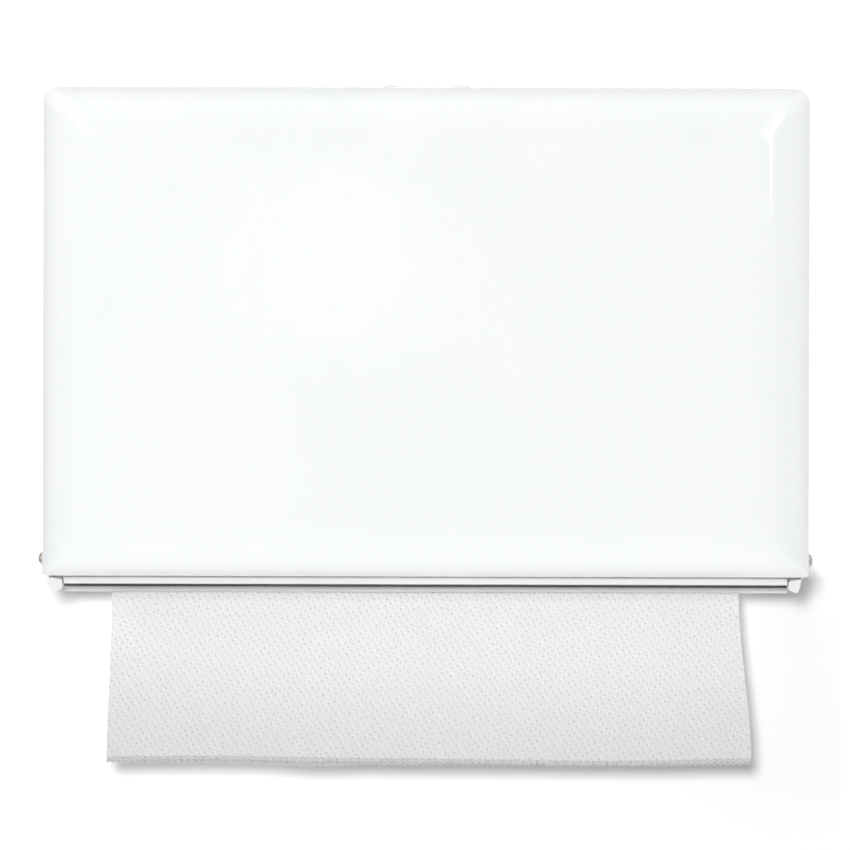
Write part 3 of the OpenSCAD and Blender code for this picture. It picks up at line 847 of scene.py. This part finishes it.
def make_side_plate(side, material):
    """A side plate: its web, its rear flange and its foot, folded into a slanting channel."""
    node = "right_side_plate" if side > 0 else "left_side_plate"
    low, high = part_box(node)
    hinge_low, hinge_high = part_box("left_hinge_rivet")
    pivot_z = (hinge_low.z + hinge_high.z) / 2
    bottom = low.z + SHEET / 2
    tip, inner = FOOT_SLANT - FOOT_OUT, FOOT_W - FOOT_OUT
    foot = [(0, -PLATE_FLANGE_TOP), (-FOOT_OUT, bottom + FOOT_START), (tip, bottom),
            (inner, bottom + FOOT_RISE), (inner, bottom + FOOT_LIP)]
    channel = routed(foot, (2 * MM, 0.6 * MM, 0.6 * MM))
    mesh = bmesh.new()
    depths = np.linspace(low.y, -FOOT_REAR, 13)
    add_grid(mesh, [[(side * plate_x(y), y, z) for z in web_heights(y, pivot_z)] for y in depths])
    shut_z = bottom + FOOT_CLOSED
    front = [(side * (plate_x(low.y) - x), low.y + FOOT_RAKE * max(0, shut_z - z), z) for x, z in channel]
    add_grid(mesh, [front] + [[(side * (plate_x(y) - x), y, z) for x, z in channel] for y in depths[1:]])
    shut_x = plate_x(low.y) - tip + FOOT_SLANT * FOOT_CLOSED / FOOT_START
    shut = [(side * shut_x, low.y, shut_z), *(point for point in front if point[2] < shut_z)]
    mesh.faces.new([mesh.verts.new(point) for point in shut])
    rear_y = high.y - SHEET / 2
    bend_y = rear_y - BEND_R
    straight = [(plate_x(y), y) for y in (-FOOT_REAR, bend_y)]
    add_grid(mesh, [[(side * x, y, z) for z in (*web_heights(y, pivot_z), low.z)] for x, y in straight])
    corner_x = plate_x(rear_y)
    flange = routed([straight[1], (corner_x, rear_y), (corner_x - PLATE_FLANGE, rear_y)], [BEND_R * 0.8])
    heights = web_heights(bend_y, pivot_z)[1:]
    add_grid(mesh, [[(side * x, y, z) for z in heights] for x, y in flange])
    make_sheet_piece(node + "_folded", mesh, material, node)


def make_tray(material, inside):
    """The front tray: hemmed front flange, floor with its end tabs, and rear flange with its folded lip."""
    low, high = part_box("front_tray")
    front, rear = low.y + SHEET / 2, -LIP_BACK + SHEET / 2
    floor = high.z - TAB_H - SHEET / 2
    hem, lip = low.z + HEM_UP + SHEET / 2, low.z + SHEET / 2
    hem_y, lip_top = front + 2 * FOLD_R, lip + 2 * FOLD_R
    flat = [(hem_y, hem + HEM_H), (hem_y, hem), (front, hem), (front, floor), (rear, floor), (rear, lip),
            (rear - LIP_NOSE, lip), (rear - LIP_NOSE, lip_top), (rear - SHEET, lip_top)]
    radii = (TIGHT_FOLD_R, TIGHT_FOLD_R, BEND_R, BEND_R, FOLD_R, TIGHT_FOLD_R, TIGHT_FOLD_R)
    profile = routed(flat, radii)
    mesh = bmesh.new()

    def half(y):
        return plate_x(y) - FOOT_W + FOOT_OUT - SHEET / 2 - TRAY_GAP

    add_grid(mesh, [[(share * half(y), y, z) for y, z in profile] for share in np.linspace(-1, 1, 9)])
    tab_y = (low.y - LIP_BACK) / 2
    tab_front, tab_rear = tab_y - TAB_LEN / 2, tab_y + TAB_LEN / 2
    for side in (-1, 1):
        for ends in ((front + BEND_R, tab_front), (tab_rear, rear - BEND_R)):
            spans = [(y, half(y), plate_x(y) - SHEET * 0.6) for y in ends]
            add_grid(mesh, [[(side * x, y, floor) for x in (start, end)] for y, start, end in spans])
        tab = [routed([(half(y), floor), (plate_x(y) - SHEET, floor), (plate_x(y) - SHEET, high.z)], [BEND_R])
               for y in (tab_front, tab_rear)]
        add_grid(mesh, [[(side * x, y, z) for x, z in row] for y, row in zip((tab_front, tab_rear), tab)])
    # One side of the rear flange takes the dark inside coat: painted shade for the hollow under the floor
    for face in mesh.faces:
        at_rear = abs(face.calc_center_median().y - rear) < SHEET / 4
        face.material_index = 0 if at_rear else 2
    make_sheet_piece("front_tray_folded", mesh, material, "front_tray", inside)


# Stage, lights and camera

def stage_material():
    """White ground that only the camera sees, and only from its front; it shows the object's shadow."""
    material, nodes, links = new_material("stage_white")
    nodes.remove(nodes["Principled BSDF"])
    diffuse = nodes.new("ShaderNodeBsdfDiffuse")
    diffuse.inputs["Color"].default_value = (1, 1, 1, 1)
    glow = nodes.new("ShaderNodeEmission")
    place = nodes.new("ShaderNodeNewGeometry")
    axes = nodes.new("ShaderNodeSeparateXYZ")
    links.new(place.outputs["Position"], axes.inputs[0])
    share = nodes.new("ShaderNodeMapRange")
    share.inputs["From Min"].default_value = -1
    share.inputs["From Max"].default_value = 1
    links.new(axes.outputs["Z"], share.inputs["Value"])
    # The ground glows less in a band under the object, and strongly above and beside it, where the glow
    # paints out the object's shadow
    heights = [(SHADOW_LOW - FADE_LOW, GLOW), (SHADOW_LOW, SHADOW_GLOW),
               (SHADOW_TOP - FADE_TOP, SHADOW_GLOW), (SHADOW_TOP, GLOW)]
    stops = [((z + 1) / 2, (glow_at,) * 3) for z, glow_at in heights]
    level = ramp(nodes, links, share.outputs["Result"], stops)
    aside = nodes.new("ShaderNodeMath")
    aside.operation = "ABSOLUTE"
    links.new(axes.outputs["X"], aside.inputs[0])
    side_stops = [(SHADOW_HALF, (0, 0, 0)), (SHADOW_HALF + FADE_SIDE, (GLOW,) * 3)]
    beside = ramp(nodes, links, aside.outputs[0], side_stops)
    brighter = nodes.new("ShaderNodeMath")
    brighter.operation = "MAXIMUM"
    links.new(level, brighter.inputs[0])
    links.new(beside, brighter.inputs[1])
    links.new(brighter.outputs[0], glow.inputs["Strength"])
    both = nodes.new("ShaderNodeAddShader")
    links.new(diffuse.outputs[0], both.inputs[0])
    links.new(glow.outputs[0], both.inputs[1])
    path = nodes.new("ShaderNodeLightPath")
    seen = nodes.new("ShaderNodeMath")
    seen.operation = "SUBTRACT"
    seen.use_clamp = True
    links.new(path.outputs["Is Camera Ray"], seen.inputs[0])
    links.new(place.outputs["Backfacing"], seen.inputs[1])
    clear = nodes.new("ShaderNodeBsdfTransparent")
    mix = nodes.new("ShaderNodeMixShader")
    links.new(seen.outputs[0], mix.inputs["Fac"])
    links.new(clear.outputs[0], mix.inputs[1])
    links.new(both.outputs[0], mix.inputs[2])
    links.new(mix.outputs[0], nodes["Material Output"].inputs["Surface"])
    return material


def make_stage():
    """A wall that bends into a floor in front of it."""
    bends = [math.pi / 2 * k / COVE_STEPS for k in range(COVE_STEPS + 1)]
    route = [(WALL_Y, STAGE_REACH)]
    cove_y, cove_z = WALL_Y - COVE_R, STAGE_Z + COVE_R
    route += [(cove_y + COVE_R * math.cos(a), cove_z - COVE_R * math.sin(a)) for a in bends]
    route += [(-STAGE_REACH, STAGE_Z)]
    mesh = bmesh.new()
    rows = [[mesh.verts.new((x, y, z)) for x in (-STAGE_REACH, STAGE_REACH)] for y, z in route]
    for a, b in zip(rows, rows[1:]):
        mesh.faces.new((a[0], b[0], b[1], a[1]))
    bmesh.ops.recalc_face_normals(mesh, faces=mesh.faces)
    mesh.faces.ensure_lookup_table()
    if mesh.faces[0].normal.y > 0:
        bmesh.ops.reverse_faces(mesh, faces=mesh.faces)
    make_object("stage_sweep", mesh, stage_material())


def make_world():
    """White surroundings to look at, and a plain even light on the object."""
    world = bpy.data.worlds.new("studio")
    bpy.context.scene.world = world
    world.use_nodes = True
    nodes, links = world.node_tree.nodes, world.node_tree.links
    light = nodes["Background"]
    light.inputs["Color"].default_value = (0.97, 0.985, 1, 1)
    light.inputs["Strength"].default_value = 0.22
    seen = nodes.new("ShaderNodeBackground")
    seen.inputs["Color"].default_value = (1, 1, 1, 1)
    path = nodes.new("ShaderNodeLightPath")
    either = nodes.new("ShaderNodeMath")
    either.operation = "MAXIMUM"
    any_of = nodes.new("ShaderNodeMath")
    any_of.operation = "MAXIMUM"
    links.new(path.outputs["Is Camera Ray"], either.inputs[0])
    links.new(path.outputs["Is Glossy Ray"], either.inputs[1])
    links.new(either.outputs[0], any_of.inputs[0])
    links.new(path.outputs["Is Transmission Ray"], any_of.inputs[1])
    mix = nodes.new("ShaderNodeMixShader")
    links.new(any_of.outputs[0], mix.inputs["Fac"])
    links.new(light.outputs[0], mix.inputs[1])
    links.new(seen.outputs[0], mix.inputs[2])
    links.new(mix.outputs[0], nodes["World Output"].inputs["Surface"])


def add_lamp(name, at, towards, size, energy, spin=0):
    """A rectangular lamp that faces a point and isn't itself in the picture."""
    lamp = bpy.data.lights.new(name, "AREA")
    lamp.shape = "RECTANGLE"
    lamp.size, lamp.size_y = size
    lamp.energy = energy
    box = bpy.data.objects.new(name, lamp)
    box.location = at
    box.rotation_mode = "QUATERNION"
    facing = (Vector(towards) - Vector(at)).to_track_quat("-Z", "Y")
    box.rotation_quaternion = facing @ Matrix.Rotation(spin, 3, "Z").to_quaternion()
    box.visible_camera = False
    bpy.context.scene.collection.objects.link(box)
    return box


def add_fill(name, at, size, level):
    """A soft light on the object that its gloss doesn't show; level is what it adds to facing white paper."""
    away = (Vector(at) - LIT_MIDDLE).length
    add_lamp(name, at, LIT_MIDDLE, size, level * math.pi**2 * away**2).visible_glossy = False


def add_card(name, at, towards, size, brightness, spin):
    """A bright card that shows only in the gloss of the enamel and the metal."""
    add_lamp(name, at, towards, size, brightness * math.pi * size[0] * size[1], spin).visible_diffuse = False


def make_lights():
    """A key near the camera, a side light, soft lights all round, and cards that two corners reflect."""
    add_fill("front_key", (-0.075, -2.9, 0.085), (0.15, 0.15), 0.64)
    add_fill("left_key", (-1.35, -1.5, 0.3), (0.6, 0.6), 0.145)
    for name, at, level in (("left_side", (-1.45, 0.36, 0.3), 0.32), ("right_side", (1.48, 0.16, 0.1), 0.46),
                            ("above", (0, 0.03, 1.5), 0.39), ("below", (0, -0.41, -1.5), 0.215),
                            ("under", (0, 0.29, -1.45), 0.32)):
        add_fill(name, at, (0.8, 0.8), level)
    add_card("left_card", (-0.57, -1.2, 0.55), (-0.12, -0.15, 0.07), (0.34, 0.8), 2.2, math.radians(45))
    add_card("right_card", (0.62, -1.25, 0.575), (0.12, -0.15, 0.07), (0.5, 0.98), 2.8, math.radians(-30))


def make_camera():
    """The photograph's view: square on, from far away, a little low."""
    lens = bpy.data.cameras.new("camera")
    lens.lens = CAMERA_LENS
    lens.sensor_width = 36
    camera = bpy.data.objects.new("camera", lens)
    camera.location = CAMERA_AT
    level_view = Matrix.Rotation(math.pi / 2, 3, "X")
    camera.rotation_euler = (Matrix.Rotation(CAMERA_ROLL, 3, "Y") @ level_view).to_euler()
    bpy.context.scene.collection.objects.link(camera)
    bpy.context.scene.camera = camera


def main():
    """Dresses every node, and adds the modelled pieces."""
    cover_white = enamel("cover_enamel", (0.925, 0.94, 0.945), (0.905, 0.922, 0.93))
    cabinet_white = enamel("cabinet_enamel", (0.85, 0.85, 0.845), (0.82, 0.82, 0.815))
    zinc = plated("zinc_plate", (0.66, 0.67, 0.69), (0.5, 0.51, 0.53), (0.28, 0.42), 1400)
    nickel = plated("nickel_plate", (0.8, 0.77, 0.73), (0.12, 0.08, 0.06), (0.08, 0.22), 2200)
    lock_nickel = plated("lock_nickel", (0.78, 0.76, 0.72), (0.64, 0.62, 0.58), (0.16, 0.3), 2200)
    # The towel paper is darkened from the slot down to its free edge as painted shade
    towel_white = paper("towel_paper", (0.99, 0.98, 0.98), (0.93, 0.92, 0.92), (0.42, 0.38, 0.33), 1500,
                        ((0.82, 0.81, 0.82), -0.09, -0.152))
    stack_white = paper("stack_paper", (0.82, 0.81, 0.8), (0.75, 0.74, 0.73), (0.42, 0.38, 0.33), 260)
    make_camera()
    make_cover(cover_white)
    make_towel(towel_white)
    make_stack(stack_white)
    for side in (-1, 1):
        make_hinge_rivet(side, nickel)
        make_side_plate(side, cabinet_white)
    make_lock_rivets(cabinet_white)
    # The tray's dark inside coat is painted shade for the hollow between its flanges
    make_tray(cabinet_white, enamel("tray_painted_shade", (0.22, 0.23, 0.24), (0.18, 0.19, 0.2)))
    for node in ("back_plate", "rear_shelf"):
        dress(node, cabinet_white)
    for node in ("side_plate_rivets", "tray_rivets", "shelf_rivets", "left_hinge_washer",
                 "right_hinge_washer", "lock_bracket", "lock_nut", "strike_plate", "lock_cam", "cam_screw"):
        dress(node, zinc)
    for node in ("lock_barrel", "lock_plug"):
        dress(node, lock_nickel)
    make_stage()
    make_world()
    make_lights()
    bpy.context.scene.view_settings.view_transform = "Standard"


main()
